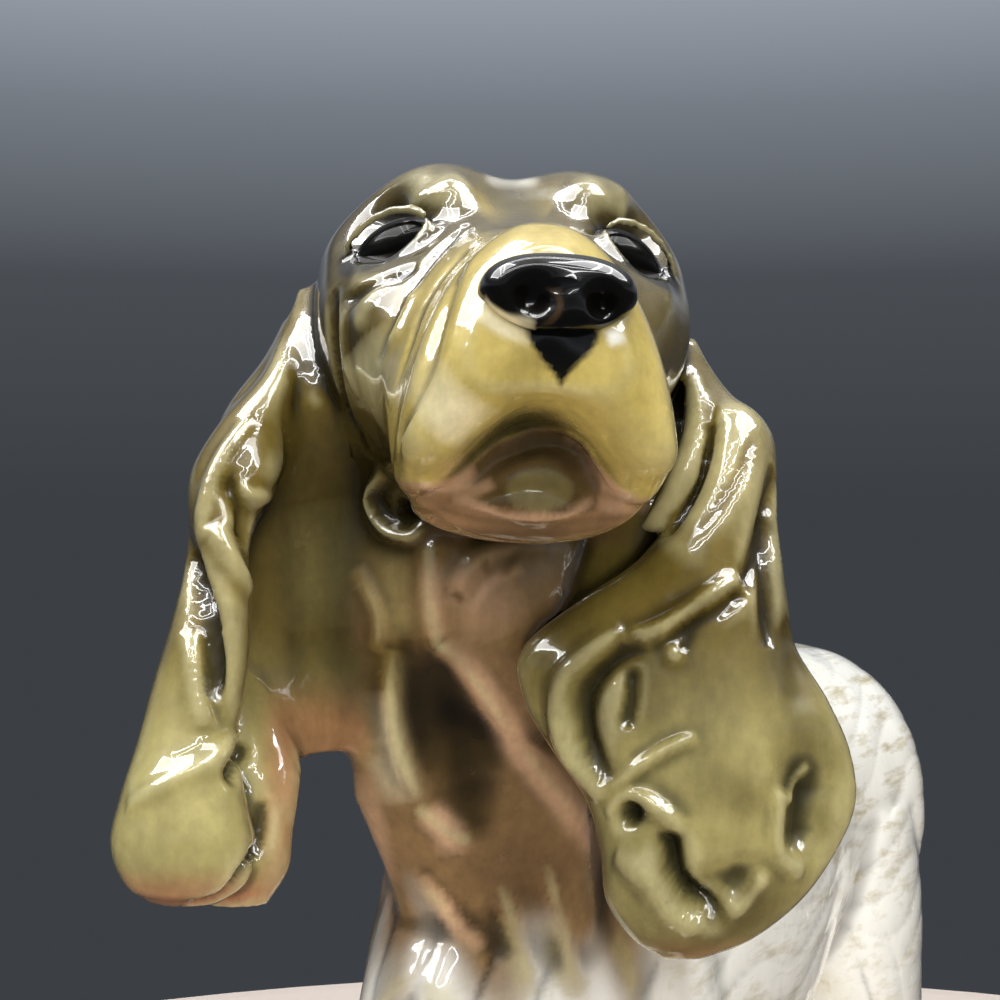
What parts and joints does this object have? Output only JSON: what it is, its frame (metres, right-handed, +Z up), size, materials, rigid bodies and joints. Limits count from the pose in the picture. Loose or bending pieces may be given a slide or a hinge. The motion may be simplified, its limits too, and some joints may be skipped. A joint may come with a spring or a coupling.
{
  "type": "dog figurine",
  "caption": "Glazed china spaniel standing with its head turned and raised, long waved ears and a docked tail; an ornament that rests on its paws.",
  "frame": {"origin": "on the floor, under the middle of the whole figurine's box", "axes": "+Z up, the body faces -Y, the dog's left is +X"},
  "size_m": [0.0486, 0.1468, 0.126],
  "materials": {
    "olive_glaze": "painted olive and gold under a clear gloss glaze",
    "white_glaze": "white body with tan brush marks under a clear gloss glaze",
    "fired_slip": "fired slip"
  },
  "bodies": {
    "root": {"head": "olive_glaze", "left_ear": "olive_glaze", "right_ear": "olive_glaze", "torso": "white_glaze", "tail": "white_glaze", "left_foreleg": "white_glaze", "right_foreleg": "white_glaze", "left_hind_leg": "white_glaze", "right_hind_leg": "white_glaze", "neck_slip_joint": "fired_slip", "tail_slip_joint": "fired_slip", "left_ear_slip_joint": "fired_slip", "right_ear_slip_joint": "fired_slip", "left_foreleg_slip_joint": "fired_slip", "right_foreleg_slip_joint": "fired_slip", "left_hind_leg_slip_joint": "fired_slip", "right_hind_leg_slip_joint": "fired_slip"}
  },
  "joints": []
}
